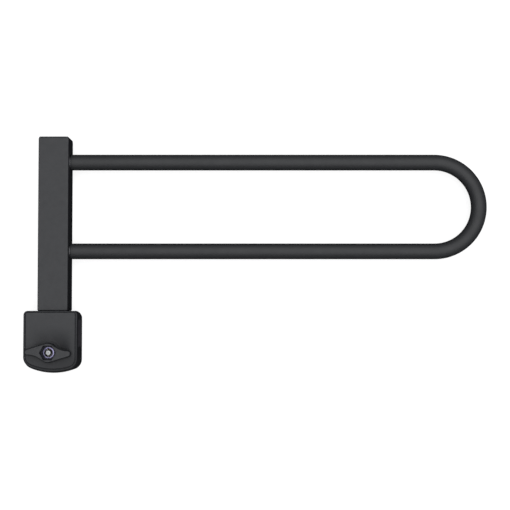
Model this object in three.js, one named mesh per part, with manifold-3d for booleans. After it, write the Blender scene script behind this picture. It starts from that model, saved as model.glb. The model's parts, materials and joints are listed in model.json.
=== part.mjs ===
// A long-shackle U-lock, lying on its back: the shackle points along +X, the crossbar runs
// along Y with the lock head at its -Y end, and the keyhole faces +Z. Millimetres.
//
// The lock is shown closed with its bolts drawn back. Turning the winged knob drives a
// rack that slides the lock bar along the crossbar, and its two bolts enter the notches in
// the shackle's feet. The key turns a tubular seven-pin plug, whose eccentric pushes a
// small interlock bolt out of the knob's spindle into a pocket of the steel case.

import * as THREE from "three";
import { mergeVertices } from "three/addons/utils/BufferGeometryUtils.js";
import Module from "manifold-3d";

const wasm = await Module();
wasm.setup();

// ---- Driving dimensions ----

const GAP = 0.3; // between pieces that touch
const FULL_TURN = 2 * Math.PI;

const ROD_RADIUS = 8; // hardened steel rod
const COAT_RADIUS = 9; // outside of the vinyl coating
const LEG_Y = 51; // each leg's distance from the shackle's middle
const BOW_X = 434; // centre of the bow
const FOOT_TIP_X = -10;
const NOTCH = { low: -5, high: 3.6, depth: 5 }; // in each foot, on its -Y side

const BAR_WIDTH = 34; // crossbar over its plastic cover, square
const BAR_HALF = BAR_WIDTH / 2;
const BAR_TOP = 79;
const COVER_WALL = 1.7;
const TUBE_HALF = BAR_HALF - COVER_WALL - GAP;
const TUBE_WALL = 3;
const TUBE_INSIDE = TUBE_HALF - TUBE_WALL;
const TUBE_BOTTOM = -150.5;
const FOOT_HOLE = ROD_RADIUS + 0.4;

const HEAD = { width: 61, x: -1.5, top: -119, height: 69.7, depth: 40 };
const HEAD_WALL = { side: 2.5, front: 3, back: 1.7 };
const HEAD_EDGE = 2.2; // rounding round the front and back faces
const HEAD_TOP_CORNER = 4.6;
const HEAD_LOW_CORNER = 12;
const HEAD_SOLE = { radius: 68, x: 1.7 }; // the long arc across the bottom
const PARTING_Z = 20;
const GRIP = { low: -160.5, high: -128.5, back: 6, front: 34, recess: 1.1, corner: 3 };
const SCOOP = { x: 11, y: 2, across: 21, along: 29, height: 16, depth: 4.7, wall: 1.4 };
const SCOOP_LOW = -4.5; // hidden under the knob's wing
const SCOOP_COLLAR = 12.2; // radius left standing round the spindle
const HEAD_SCREWS = [
  [-25.4, -127],
  [22.4, -127],
  [-25.4, -168],
  [22.4, -168],
];

const KEY_X = -3.5;
const KEY_Y = -166;
const KNOB_TURN = THREE.MathUtils.degToRad(45);
const KNOB = { back: 40.6, front: 46.4, hub: 11.2, reach: 26.2, tip: 3.9, edge: 0.9, flats: 16.3 };

const PINION = { module: 0.8, teeth: 28, low: 25, high: 28.2 };
const PITCH_RADIUS = (PINION.module * PINION.teeth) / 2;
const RACK_PITCH = Math.PI * PINION.module;
const PRESSURE_ANGLE = THREE.MathUtils.degToRad(20);
const BACKLASH = 0.2; // taken off each tooth's width
const BAR_TRAVEL = PITCH_RADIUS * KNOB_TURN;

const SPINDLE_RADIUS = 10.1;
const CASE_BORE = 10.5;
const CASE = { left: -16.5, right: 21, low: -16, high: 14.8, back: 3, front: 28.6 };
const CASE_LID = { back: 28.9, front: 32.4 };
const CASE_SCREWS = [
  [-13.6, 11.5],
  [-13.6, -12.8],
  [18, 11.5],
  [18, -12.8],
];

const SHELL = { back: 15, web: 29.3, shoulder: 30.3, front: 38.5 }; // heights
const SHELL_RADII = { body: 8.2, lip: 6.5, bore: 6.4, mouth: 4.9 };
const PIN_COUNT = 7;
const PIN_CIRCLE = 4;
const PIN_RADIUS = 0.7;
const PIN_BORE = 0.95;
const SHEAR_Z = 25; // driver block below, plug above
const BITTING = [0.4, 1.4, 0.8, 1.8, 0.2, 1.1, 1.5]; // how far each key pin stands into the keyway

const ECCENTRIC = 2;
const INTERLOCK = { inner: 4.6, outer: -9.8, half: 2.5, back: 7.6, front: 11.1 };

// ---- Materials ----

const finish = (color, roughness, metalness) =>
  new THREE.MeshStandardMaterial({ color, roughness, metalness });
const COVER_PLASTIC = finish(0x2b2b2d, 0.62, 0);
const VINYL = finish(0x262627, 0.5, 0);
const SOFT_GRIP = finish(0x38383b, 0.7, 0);
const NYLON = finish(0xd8d6cc, 0.5, 0);
const HARD_STEEL = finish(0x8a8c90, 0.35, 1);
const ZINC = finish(0x3a3a3e, 0.45, 1);
const VIOLET_STEEL = finish(0x8c84b4, 0.25, 1);
const NICKEL = finish(0xcfd2d4, 0.2, 1);
const BRASS = finish(0xb89550, 0.3, 1);
const SPRING_STEEL = finish(0x9a9ca0, 0.3, 1);
const RUBBER = finish(0x1a1a1a, 0.8, 0);

// ---- Solids: geometry classes joined and cut ----

function solid(geometry) {
  const bare = geometry.clone();
  bare.deleteAttribute("normal");
  bare.deleteAttribute("uv");
  const merged = mergeVertices(bare, 1e-4);
  return new wasm.Manifold(
    new wasm.Mesh({
      numProp: 3,
      vertProperties: merged.attributes.position.array,
      triVerts: new Uint32Array(merged.index.array),
    }),
  );
}

function geometryOf(body) {
  const mesh = body.getMesh();
  return new THREE.BufferGeometry()
    .setAttribute("position", new THREE.BufferAttribute(mesh.vertProperties, 3))
    .setIndex(new THREE.BufferAttribute(mesh.triVerts, 1));
}

function box(x0, x1, y0, y1, z0, z1) {
  const geometry = new THREE.BoxGeometry(x1 - x0, y1 - y0, z1 - z0);
  return solid(geometry.translate((x0 + x1) / 2, (y0 + y1) / 2, (z0 + z1) / 2));
}

// An upright round bar at (x, y), which tapers if topRadius is given.
function post(radius, z0, z1, x = 0, y = 0, sides = 24, topRadius = radius) {
  const geometry = new THREE.CylinderGeometry(topRadius, radius, z1 - z0, sides);
  return solid(geometry.rotateX(Math.PI / 2).translate(x, y, (z0 + z1) / 2));
}

// A round bar along X at (y, z).
function axle(radius, x0, x1, y, z, sides = 32, endRadius = radius) {
  const geometry = new THREE.CylinderGeometry(endRadius, radius, x1 - x0, sides);
  return solid(geometry.rotateZ(-Math.PI / 2).translate((x0 + x1) / 2, y, z));
}

// A profile of [radius, z] points turned about the Z axis; it closes on itself.
function turned(profile, segments = 28) {
  const points = [...profile, profile[0]].map(([r, z]) => new THREE.Vector2(r, z));
  return solid(new THREE.LatheGeometry(points, segments).rotateX(Math.PI / 2));
}

function extruded(shape, z0, z1, options = {}) {
  const settings = { depth: z1 - z0, bevelEnabled: false, curveSegments: 12, ...options };
  return solid(new THREE.ExtrudeGeometry(shape, settings).translate(0, 0, z0));
}

// The same with both faces' edges rounded, inside the shape's outline.
function rounded(shape, z0, z1, edge, segments = 3, curveSegments = 12) {
  return extruded(shape, z0 + edge, z1 - edge, {
    bevelEnabled: true,
    bevelThickness: edge,
    bevelSize: edge,
    bevelOffset: -edge,
    bevelSegments: segments,
    curveSegments,
  });
}

function polygon(points) {
  return new THREE.Shape(points.map(([x, y]) => new THREE.Vector2(x, y)));
}

function roundedRectangle(x0, x1, y0, y1, r) {
  const shape = new THREE.Shape();
  shape.absarc(x1 - r, y1 - r, r, 0, Math.PI / 2);
  shape.absarc(x0 + r, y1 - r, r, Math.PI / 2, Math.PI);
  shape.absarc(x0 + r, y0 + r, r, Math.PI, 1.5 * Math.PI);
  shape.absarc(x1 - r, y0 + r, r, 1.5 * Math.PI, FULL_TURN);
  return shape;
}

function mesh(name, body, material) {
  const made = new THREE.Mesh(geometryOf(body), material);
  made.name = name;
  return made;
}

function group(x, y, z, ...children) {
  const made = new THREE.Group();
  made.position.set(x, y, z);
  return made.add(...children);
}

// ---- Shackle: origin midway between the legs, on the rod's centre plane ----

const BOW_STEPS = 16;

// Out along one leg, round the bow and back along the other. Each leg is one step.
class ShacklePath extends THREE.Curve {
  constructor(startX) {
    super();
    this.startX = startX;
  }
  getPoint(t, target = new THREE.Vector3()) {
    const step = t * (BOW_STEPS + 2) - 1;
    if (step <= 0) return target.set(BOW_X + (BOW_X - this.startX) * step, LEG_Y, 0);
    if (step >= BOW_STEPS) {
      return target.set(BOW_X - (BOW_X - this.startX) * (step - BOW_STEPS), -LEG_Y, 0);
    }
    const angle = Math.PI * (0.5 - step / BOW_STEPS);
    return target.set(BOW_X + LEG_Y * Math.cos(angle), LEG_Y * Math.sin(angle), 0);
  }
  getTangent(t, target = new THREE.Vector3()) {
    const step = THREE.MathUtils.clamp(t * (BOW_STEPS + 2) - 1, 0, BOW_STEPS);
    const angle = Math.PI * (0.5 - step / BOW_STEPS);
    return target.set(Math.sin(angle), -Math.cos(angle), 0);
  }
  getPointAt(t, target) {
    return this.getPoint(t, target);
  }
  getTangentAt(t, target) {
    return this.getTangent(t, target);
  }
}

function shackleSweep(radius, startX) {
  const section = new THREE.Shape().absarc(0, 0, radius, 0, FULL_TURN);
  const settings = {
    steps: BOW_STEPS + 2,
    extrudePath: new ShacklePath(startX),
    curveSegments: 10,
  };
  return solid(new THREE.ExtrudeGeometry(section, settings));
}

function shackleRod() {
  const taper = 2;
  let rod = shackleSweep(ROD_RADIUS, FOOT_TIP_X + taper);
  for (const y of [LEG_Y, -LEG_Y]) {
    const low = y - ROD_RADIUS - 1;
    const high = y - ROD_RADIUS + NOTCH.depth;
    const notch = box(NOTCH.low, NOTCH.high, low, high, -ROD_RADIUS - 1, ROD_RADIUS + 1);
    const coneEnd = FOOT_TIP_X + taper + 0.5;
    const tip = axle(ROD_RADIUS - taper, FOOT_TIP_X, coneEnd, y, 0, 24, ROD_RADIUS - 0.1);
    rod = rod.add(tip).subtract(notch);
  }
  return rod;
}

function shackleCoating() {
  const end = BAR_HALF + 0.4;
  const inside = ROD_RADIUS + GAP;
  return shackleSweep(COAT_RADIUS, end).subtract(shackleSweep(inside, end - 1));
}

function shackle() {
  return group(
    0,
    0,
    BAR_HALF,
    mesh("shackle_rod", shackleRod(), HARD_STEEL),
    mesh("shackle_coating", shackleCoating(), VINYL),
  );
}

// ---- Crossbar: origin on its long axis, midway between the shackle's legs ----

const END_PIN = { radius: 1.9, y: 69.5 };
const SOCKET = { below: 18, above: 12.5, top: 7.9, end: -10.4 };
const STRIP = { low: 8.3, high: 10.8, half: 7, top: 40 };
const BOLT = { low: NOTCH.low + 0.4, high: NOTCH.high - 0.4, length: 12, half: 8 };
const BOLT_TIP = -ROD_RADIUS + NOTCH.depth - 0.5 - BAR_TRAVEL; // from its leg, drawn back
const BOLT_MIDDLE = (BOLT.low + BOLT.high) / 2;
const RIVET = { radius: 2, head: 3.2, foot: 2 };

function crossbarCover() {
  const corner = { across: 1.6, along: 3.2 };
  const bottom = HEAD.top + GAP;
  const outline = polygon([
    [-BAR_HALF, bottom],
    [BAR_HALF, bottom],
    [BAR_HALF, BAR_TOP - corner.along],
    [BAR_HALF - corner.across, BAR_TOP],
    [-BAR_HALF + corner.across, BAR_TOP],
    [-BAR_HALF, BAR_TOP - corner.along],
  ]);
  const inside = TUBE_HALF + GAP;
  let cover = rounded(outline, -BAR_HALF, BAR_HALF, 1.3);
  cover = cover.subtract(box(-inside, inside, bottom - 1, BAR_TOP - 2.3, -inside, inside));
  for (const y of [LEG_Y, -LEG_Y]) {
    cover = cover.subtract(axle(FOOT_HOLE, 0, BAR_HALF + 1, y, 0));
  }
  return cover;
}

function crossbarTube() {
  const top = BAR_TOP - 2.3 - GAP;
  let tube = box(-TUBE_HALF, TUBE_HALF, TUBE_BOTTOM, top, -TUBE_HALF, TUBE_HALF);
  tube = tube.subtract(
    box(-TUBE_INSIDE, TUBE_INSIDE, TUBE_BOTTOM - 1, top + 1, -TUBE_INSIDE, TUBE_INSIDE),
  );
  for (const y of [LEG_Y, -LEG_Y]) {
    tube = tube.subtract(axle(FOOT_HOLE, 0, TUBE_HALF + 1, y, 0));
  }
  return tube
    .subtract(post(END_PIN.radius + GAP, -TUBE_HALF - 1, TUBE_HALF + 1, 0, END_PIN.y, 24))
    .subtract(axle(CASE_PIN.radius + GAP, -TUBE_HALF - 1, TUBE_HALF + 1, CASE_PIN.y, CASE_PIN.z, 24));
}

function endPlug() {
  const half = TUBE_INSIDE - GAP;
  return box(-half, half, 64, BAR_TOP - 2.9, -half, half).subtract(
    post(END_PIN.radius + GAP, -TUBE_HALF, TUBE_HALF, 0, END_PIN.y, 24),
  );
}

function endPin() {
  return post(END_PIN.radius, 0.4 - TUBE_HALF, TUBE_HALF - 0.4, 0, END_PIN.y, 24);
}

// A nylon block that holds a foot still and leads its bolt.
function footSocket(legY) {
  const half = TUBE_INSIDE - GAP;
  const bottom = legY - SOCKET.below;
  return box(-half, half, bottom, legY + SOCKET.above, -half, SOCKET.top)
    .subtract(axle(FOOT_HOLE, SOCKET.end, half + 1, legY, 0))
    .subtract(
      box(NOTCH.low - 0.1, NOTCH.high + 0.1, bottom - 1, legY, -BOLT.half - 0.4, SOCKET.top + 1),
    );
}

function bolt(legY) {
  const tip = legY + BOLT_TIP;
  const middle = tip - BOLT.length / 2;
  const side = polygon([
    [BOLT.low, tip - BOLT.length],
    [BOLT.high, tip - BOLT.length],
    [BOLT.high, tip - 1],
    [BOLT.high - 1, tip],
    [BOLT.low + 1, tip],
    [BOLT.low, tip - 1],
  ]);
  const hole = post(RIVET.radius + GAP, RIVET.foot - GAP, BOLT.half + 1, BOLT_MIDDLE, middle, 20);
  return extruded(side, -BOLT.half, BOLT.half).subtract(hole);
}


function rivet(legY) {
  const y = legY + BOLT_TIP - BOLT.length / 2;
  const head = STRIP.high - 0.2;
  return post(RIVET.radius, RIVET.foot, head - 0.5, BOLT_MIDDLE, y, 20).add(
    post(RIVET.radius, head - 1.4, head, BOLT_MIDDLE, y, 20, RIVET.head),
  );
}

// A flat strip above the feet. Its tail is a rack beside the spindle's pinion.
function lockBar() {
  const pitchX = KEY_X + PITCH_RADIUS;
  const back = TUBE_INSIDE - 0.4;
  const root = pitchX + 1.25 * PINION.module;
  const crest = pitchX - PINION.module;
  const half = RACK_PITCH / 4 - BACKLASH / 2;
  const slope = Math.tan(PRESSURE_ANGLE);
  const atRoot = half + (root - pitchX) * slope;
  const atCrest = half - (pitchX - crest) * slope;
  const shoulder = KEY_Y + 13.4;
  const outline = [
    [-STRIP.half, STRIP.top],
    [-STRIP.half, shoulder],
    [root, shoulder],
  ];
  for (let tooth = 2; tooth >= -5; tooth--) {
    const y = KEY_Y + tooth * RACK_PITCH;
    outline.push([root, y + atRoot], [crest, y + atCrest], [crest, y - atCrest], [root, y - atRoot]);
  }
  outline.push([root, KEY_Y - 14], [back, KEY_Y - 14], [back, KEY_Y + 23]);
  outline.push([STRIP.half, KEY_Y + 28], [STRIP.half, STRIP.top]);
  let strip = extruded(polygon(outline), STRIP.low, STRIP.high);
  for (const legY of [LEG_Y, -LEG_Y]) {
    const y = legY + BOLT_TIP - BOLT.length / 2;
    const hole = RIVET.radius + GAP;
    const sunk = [STRIP.high - 1.8, STRIP.high + 0.2];
    strip = strip
      .subtract(post(hole, STRIP.low - 1, STRIP.high + 1, BOLT_MIDDLE, y, 20))
      .subtract(post(hole, ...sunk, BOLT_MIDDLE, y, 20, RIVET.head + 0.7));
  }
  return strip;
}

function crossbar() {
  return group(
    0,
    0,
    BAR_HALF,
    mesh("crossbar_cover", crossbarCover(), COVER_PLASTIC),
    mesh("crossbar_tube", crossbarTube(), HARD_STEEL),
    mesh("tube_end_plug", endPlug(), HARD_STEEL),
    mesh("end_plug_pin", endPin(), SPRING_STEEL),
    mesh("foot_socket_upper", footSocket(LEG_Y), NYLON),
    mesh("foot_socket_lower", footSocket(-LEG_Y), NYLON),
    mesh("case_pin", casePin(), SPRING_STEEL),
    mesh("lock_bar", lockBar(), HARD_STEEL),
    mesh("bolt_upper", bolt(LEG_Y), HARD_STEEL),
    mesh("bolt_lower", bolt(-LEG_Y), HARD_STEEL),
    mesh("bolt_rivet_upper", rivet(LEG_Y), SPRING_STEEL),
    mesh("bolt_rivet_lower", rivet(-LEG_Y), SPRING_STEEL),
  );
}

// ---- Head: the moulded shells round the lock case, drawn in the part's own frame ----

// The outline seen from the front, drawn in by inset: straight sides, a long arc below.
function headOutline(inset) {
  const left = HEAD.x - HEAD.width / 2 + inset;
  const right = HEAD.x + HEAD.width / 2 - inset;
  const top = HEAD.top - inset;
  const corner = HEAD_TOP_CORNER - inset;
  const low = HEAD_LOW_CORNER - inset;
  const sole = HEAD_SOLE.radius - inset;
  const soleY = HEAD.top - HEAD.height + HEAD_SOLE.radius;
  // Centre of a low corner at x, and the angle where it meets the sole.
  const lowCorner = (x) => {
    const y = soleY - Math.sqrt((sole - low) ** 2 - (x - HEAD_SOLE.x) ** 2);
    return [x, y, Math.atan2(y - soleY, x - HEAD_SOLE.x)];
  };
  const [leftX, leftY, leftJoin] = lowCorner(left + low);
  const [rightX, rightY, rightJoin] = lowCorner(right - low);
  const shape = new THREE.Shape();
  shape.absarc(right - corner, top - corner, corner, 0, Math.PI / 2);
  shape.absarc(left + corner, top - corner, corner, Math.PI / 2, Math.PI);
  shape.absarc(leftX, leftY, low, Math.PI, leftJoin + FULL_TURN);
  shape.absarc(HEAD_SOLE.x, soleY, sole, leftJoin, rightJoin);
  shape.absarc(rightX, rightY, low, rightJoin, 0);
  return shape;
}

function headBlank() {
  return rounded(headOutline(0), 0, HEAD.depth, HEAD_EDGE, 2, 5);
}

function headInside(z0, z1) {
  return extruded(headOutline(HEAD_WALL.side), z0, z1, { curveSegments: 5 });
}

function gripRecess(side) {
  const outer = side * (HEAD.width / 2);
  const face = roundedRectangle(GRIP.low, GRIP.high, GRIP.back, GRIP.front, GRIP.corner);
  return sidewaysPlate(face, HEAD.x + outer - side * GRIP.recess, HEAD.x + outer + side);
}

function grip(side) {
  const outer = HEAD.x + side * (HEAD.width / 2);
  const face = roundedRectangle(
    GRIP.low + GAP,
    GRIP.high - GAP,
    GRIP.back + GAP,
    GRIP.front - GAP,
    GRIP.corner - GAP,
  );
  return sidewaysPlate(face, outer - side * (GRIP.recess - GAP), outer);
}

// A plate whose face is drawn in (y, z), between two values of x.
function sidewaysPlate(face, xa, xb) {
  const settings = { depth: Math.abs(xb - xa), bevelEnabled: false, curveSegments: 4 };
  const geometry = new THREE.ExtrudeGeometry(face, settings);
  geometry.applyMatrix4(
    new THREE.Matrix4().makeBasis(
      new THREE.Vector3(0, 1, 0),
      new THREE.Vector3(0, 0, 1),
      new THREE.Vector3(1, 0, 0),
    ),
  );
  return solid(geometry.translate(Math.min(xa, xb), 0, 0));
}

// Room for the steel tube through the head's top wall.
function tubePassage() {
  const half = TUBE_HALF + GAP;
  return box(-half, half, HEAD.top - 6, HEAD.top + 1, BAR_HALF - half, BAR_HALF + half);
}

// A scoop in the face for a fingertip, above the right wing of the knob and under it. A
// collar round the spindle is left. With spread it is the bulge that the scoop makes inside.
function fingerScoop(spread = 0) {
  const { x, y, across, along, depth, height } = SCOOP;
  const bowl = new THREE.SphereGeometry(1, 28, 20);
  bowl.scale(across + spread, along + spread, height + spread);
  return solid(bowl.translate(KEY_X + x, KEY_Y + y, HEAD.depth + height - depth))
    .subtract(box(-60, 60, -200, KEY_Y + SCOOP_LOW - spread, 0, 80))
    .subtract(post(SCOOP_COLLAR - spread, 0, 80, KEY_X, KEY_Y, 32));
}

function headFront() {
  const ceiling = HEAD.depth - HEAD_WALL.front;
  let shell = headBlank()
    .subtract(box(-60, 60, -200, -100, -1, PARTING_Z + GAP / 2))
    .subtract(headInside(PARTING_Z - 1, ceiling))
    .subtract(tubePassage())
    .add(fingerScoop(SCOOP.wall).intersect(box(-25, 22, -180, -130, ceiling - 4, ceiling + 1)))
    .subtract(post(SPINDLE_RADIUS + 1, ceiling - 5, HEAD.depth + 1, KEY_X, KEY_Y))
    .subtract(fingerScoop());
  for (const [x, y] of HEAD_SCREWS) {
    shell = shell.add(post(3.2, PARTING_Z + GAP / 2, ceiling + 1, x, y, 20));
    shell = shell.subtract(post(1.8, PARTING_Z - 1, ceiling - 3, x, y, 16));
  }
  return shell.subtract(gripRecess(1)).subtract(gripRecess(-1));
}

function headRear() {
  const rim = PARTING_Z - GAP / 2;
  let shell = headBlank()
    .subtract(box(-60, 60, -200, -100, rim, HEAD.depth + 1))
    .subtract(headInside(HEAD_WALL.back, PARTING_Z + 1))
    .subtract(tubePassage());
  for (const [x, y] of HEAD_SCREWS) {
    shell = shell.add(post(4.2, HEAD_WALL.back - 0.5, rim, x, y, 20));
    shell = shell
      .subtract(post(1.8, -1, PARTING_Z + 1, x, y, 16))
      .subtract(post(3.1, -1, 2.9, x, y, 20));
  }
  return shell.subtract(gripRecess(1)).subtract(gripRecess(-1));
}

// A pan-head screw with a hexagonal socket, pointing along +Z from its head.
function screw(headBack, headFront, tip, headRadius, radius) {
  return post(headRadius, headBack, headFront, 0, 0, 16)
    .add(post(radius, headFront - 0.2, tip, 0, 0, 10))
    .subtract(post(1.3, headBack - 1, headBack + 1.1, 0, 0, 6));
}

function headScrew([x, y], index) {
  const made = mesh(`head_screw_${index + 1}`, screw(0.7, 2.6, 30, 2.8, 1.5), SPRING_STEEL);
  made.position.set(x, y, 0);
  return made;
}

function head() {
  return group(
    0,
    0,
    0,
    mesh("head_front", headFront(), COVER_PLASTIC),
    mesh("head_rear", headRear(), COVER_PLASTIC),
    mesh("grip_right", grip(1), SOFT_GRIP),
    mesh("grip_left", grip(-1), SOFT_GRIP),
    ...HEAD_SCREWS.map(headScrew),
  );
}

// ---- Lock case: origin on the key's axis ----

const STUB = { half: TUBE_INSIDE - GAP, back: 5.3, front: 24.9, top: 27 };
const CASE_PIN = { radius: 1.9, y: KEY_Y + 20.5, z: -3 };

function casePin() {
  return axle(CASE_PIN.radius, 0.4 - TUBE_HALF, TUBE_HALF - 0.4, CASE_PIN.y, CASE_PIN.z, 24);
}

// Where the interlock bolt's tip goes, at the given turn of the knob.
function interlockPocket(angle) {
  const reach = CASE_BORE + 3.2;
  const half = INTERLOCK.half + GAP;
  const back = INTERLOCK.back - 0.6;
  const front = INTERLOCK.front + 0.4;
  const pocket = box(-reach, -CASE_BORE + 2, -half, half, back, front);
  return pocket.rotate([0, 0, THREE.MathUtils.radToDeg(angle)]);
}

function lockCase() {
  const flangeRoom = PITCH_RADIUS + PINION.module + 0.4;
  const rackRoom = { left: PITCH_RADIUS - 1.3, right: TUBE_INSIDE + 0.1 - KEY_X };
  const slotBack = BAR_HALF + STRIP.low - 0.5;
  const barRoom = -STRIP.half - 0.5 - KEY_X;
  let block = box(CASE.left, CASE.right, CASE.low, CASE.high, CASE.back, CASE.front)
    .add(box(-STUB.half - KEY_X, STUB.half - KEY_X, CASE.high - 1, STUB.top, STUB.back, STUB.front))
    .subtract(post(CASE_BORE, 6, CASE.front + 1))
    .subtract(post(flangeRoom, PINION.low - 0.5, CASE.front + 1))
    .subtract(box(rackRoom.left, rackRoom.right, -14.6, CASE.high + 1, slotBack, CASE.front + 1))
    .subtract(box(barRoom, rackRoom.right, 11, CASE.high + 1, slotBack, CASE.front + 1))
    .subtract(interlockPocket(0))
    .subtract(interlockPocket(KNOB_TURN))
    .subtract(
      axle(CASE_PIN.radius + GAP, -20, 20, CASE_PIN.y - KEY_Y, BAR_HALF + CASE_PIN.z, 24),
    );
  for (const [x, y] of CASE_SCREWS) {
    block = block.subtract(post(1.8, 15, CASE.front + 1, x, y, 16));
  }
  return block;
}

function caseLid() {
  let plate = box(CASE.left, CASE.right, CASE.low, CASE.high - 0.6, CASE_LID.back, CASE_LID.front);
  plate = plate.subtract(post(CASE_BORE, CASE_LID.back - 1, CASE_LID.front + 1));
  for (const [x, y] of CASE_SCREWS) {
    plate = plate.subtract(post(1.8, CASE_LID.back - 1, CASE_LID.front + 1, x, y, 16));
  }
  return plate;
}

function caseScrew([x, y], index) {
  const made = mesh(`case_screw_${index + 1}`, screw(0, 1.8, 15, 2.6, 1.5), SPRING_STEEL);
  made.position.set(x, y, CASE_LID.front + 0.3 + 1.8);
  made.rotation.x = Math.PI;
  return made;
}

// ---- Knob and spindle: they turn about the key's axis ----

// Half of the knob's outline: hub, ogee, wing tip and straight edge. The other half is
// the same turned by 180 degrees.
function knobShape() {
  const { hub, reach, tip } = KNOB;
  const tipX = reach - tip;
  const tipY = -0.9;
  const leave = THREE.MathUtils.degToRad(65); // where the ogee leaves the hub
  const apart = Math.hypot(tipX, tipY);
  const towards = Math.atan2(tipY, tipX);
  const tangent = towards - Math.acos((hub - tip) / apart); // the straight edge's normal
  const shape = new THREE.Shape();
  for (const turn of [0, Math.PI]) {
    const c = Math.cos(turn);
    const at = (x, y) => [c * x, c * y];
    shape.absarc(0, 0, hub, turn + tangent + Math.PI, turn + leave, true);
    shape.bezierCurveTo(...at(8.6, 7.2), ...at(14.5, tipY + tip), ...at(tipX, tipY + tip));
    shape.absarc(...at(tipX, tipY), tip, turn + Math.PI / 2, turn + tangent, true);
  }
  return shape;
}

function hexagon(flats) {
  const points = [];
  for (let corner = 0; corner < 6; corner++) {
    const angle = (corner * Math.PI) / 3;
    const radius = flats / Math.sqrt(3);
    points.push([radius * Math.cos(angle), radius * Math.sin(angle)]);
  }
  return polygon(points);
}

const DOG = { half: 2, inner: 8.8, outer: 9.9, height: 2.6 };

function dogs(extra, z0, z1) {
  const half = DOG.half + extra;
  const dog = (side) =>
    box(
      -half,
      half,
      Math.min(side * (DOG.inner - extra), side * (DOG.outer + extra)),
      Math.max(side * (DOG.inner - extra), side * (DOG.outer + extra)),
      z0,
      z1,
    );
  return dog(1).add(dog(-1));
}

function turnKnob() {
  return rounded(knobShape(), KNOB.back - KNOB.edge, KNOB.front, KNOB.edge, 2, 8)
    .subtract(box(-40, 40, -40, 40, KNOB.back - 2, KNOB.back))
    .subtract(extruded(hexagon(KNOB.flats), KNOB.back - 1, KNOB.front + 1))
    .subtract(dogs(GAP, KNOB.back - 1, KNOB.back + DOG.height));
}

// One involute flank from root to crest, as [radius, half-angle] pairs.
function toothFlank() {
  const base = PITCH_RADIUS * Math.cos(PRESSURE_ANGLE);
  const root = PITCH_RADIUS - 1.25 * PINION.module;
  const crest = PITCH_RADIUS + PINION.module;
  const involute = (r) => {
    const a = Math.acos(Math.min(1, base / r));
    return Math.tan(a) - a;
  };
  const atPitch = Math.PI / 2 / PINION.teeth - BACKLASH / 2 / PITCH_RADIUS;
  return [0, 0.5, 1].map((share) => {
    const radius = root + (crest - root) * share;
    return [radius, atPitch + involute(PITCH_RADIUS) - involute(Math.max(radius, base))];
  });
}

function pinion() {
  const flank = toothFlank();
  const points = [];
  for (let tooth = 0; tooth < PINION.teeth; tooth++) {
    const middle = ((tooth + 0.5) * FULL_TURN) / PINION.teeth;
    const rising = flank.map(([r, a]) => [r, middle - a]);
    const falling = flank.map(([r, a]) => [r, middle + a]).reverse();
    for (const [r, a] of [...rising, ...falling]) {
      points.push([r * Math.cos(a), r * Math.sin(a)]);
    }
  }
  return extruded(polygon(points), PINION.low, PINION.high);
}

const RING_GROOVE = { low: 37.4, high: 39.4, radius: 9.3 };

function knobSpindle() {
  const top = KNOB.back - GAP;
  const groove = turned([
    [RING_GROOVE.radius, RING_GROOVE.low],
    [SPINDLE_RADIUS + 1, RING_GROOVE.low],
    [SPINDLE_RADIUS + 1, RING_GROOVE.high],
    [RING_GROOVE.radius, RING_GROOVE.high],
  ]);
  return post(SPINDLE_RADIUS, 12.3, top)
    .add(pinion())
    .subtract(groove)
    .add(dogs(0, top - 0.1, KNOB.back + DOG.height - GAP))
    .subtract(post(SHELL_RADII.body + 0.35, 12, SHELL.shoulder + GAP))
    .subtract(post(SHELL_RADII.lip + GAP, 12, top + 1));
}

function knobSeal() {
  const middle = (RING_GROOVE.low + RING_GROOVE.high) / 2;
  return solid(new THREE.TorusGeometry(SPINDLE_RADIUS + 0.1, 0.7, 6, 28).translate(0, 0, middle));
}

// The disc that closes the spindle from behind and carries the interlock bolt.
function spindleBase() {
  const well = 3.8;
  return post(SPINDLE_RADIUS, 6.3, 12)
    .add(post(SHELL_RADII.body, 11.9, 14.6))
    .subtract(post(well, INTERLOCK.back - GAP, 15, 0, 0, 32))
    .subtract(
      box(
        -SPINDLE_RADIUS - 1,
        INTERLOCK.inner + 0.4,
        -INTERLOCK.half - GAP,
        INTERLOCK.half + GAP,
        INTERLOCK.back - GAP,
        INTERLOCK.front + GAP,
      ),
    );
}

const ECCENTRIC_AT = ECCENTRIC * Math.SQRT1_2; // along X and along Y, at 45 degrees
const ECCENTRIC_RADIUS = 1.2;

function interlockBolt() {
  const room = ECCENTRIC_RADIUS + 0.25;
  const { inner, outer, half, back, front } = INTERLOCK;
  const slot = box(ECCENTRIC_AT - room, ECCENTRIC_AT + room, -0.2, half + 1, back - 1, front + 1);
  return box(outer, inner, -half, half, back, front).subtract(slot);
}

// ---- Tubular cylinder: inside the spindle ----

function aroundPins(make) {
  return Array.from({ length: PIN_COUNT }, (_, index) => {
    const angle = Math.PI / 2 + ((index + 0.5) * FULL_TURN) / PIN_COUNT;
    return make(PIN_CIRCLE * Math.cos(angle), PIN_CIRCLE * Math.sin(angle), index);
  });
}

// The fixed barrel, whose mouth is the bright ring round the keyway.
function cylinderShell() {
  const { back, web, shoulder, front } = SHELL;
  const { body, lip, bore, mouth } = SHELL_RADII;
  const keyNotch = box(-0.7, 0.7, mouth - 0.5, mouth + 0.9, shoulder + 2, front + 1);
  return turned([
    [bore, back],
    [body, back],
    [body, shoulder],
    [lip, shoulder],
    [lip, front - 0.4],
    [lip - 0.4, front],
    [mouth + 0.3, front],
    [mouth, front - 0.3],
    [mouth, web],
    [bore, web],
  ]).subtract(keyNotch);
}

const PLUG = { disc: 6.1, post: 3.1, tail: 2.2, front: 40.5, end: 12.7 };

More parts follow.
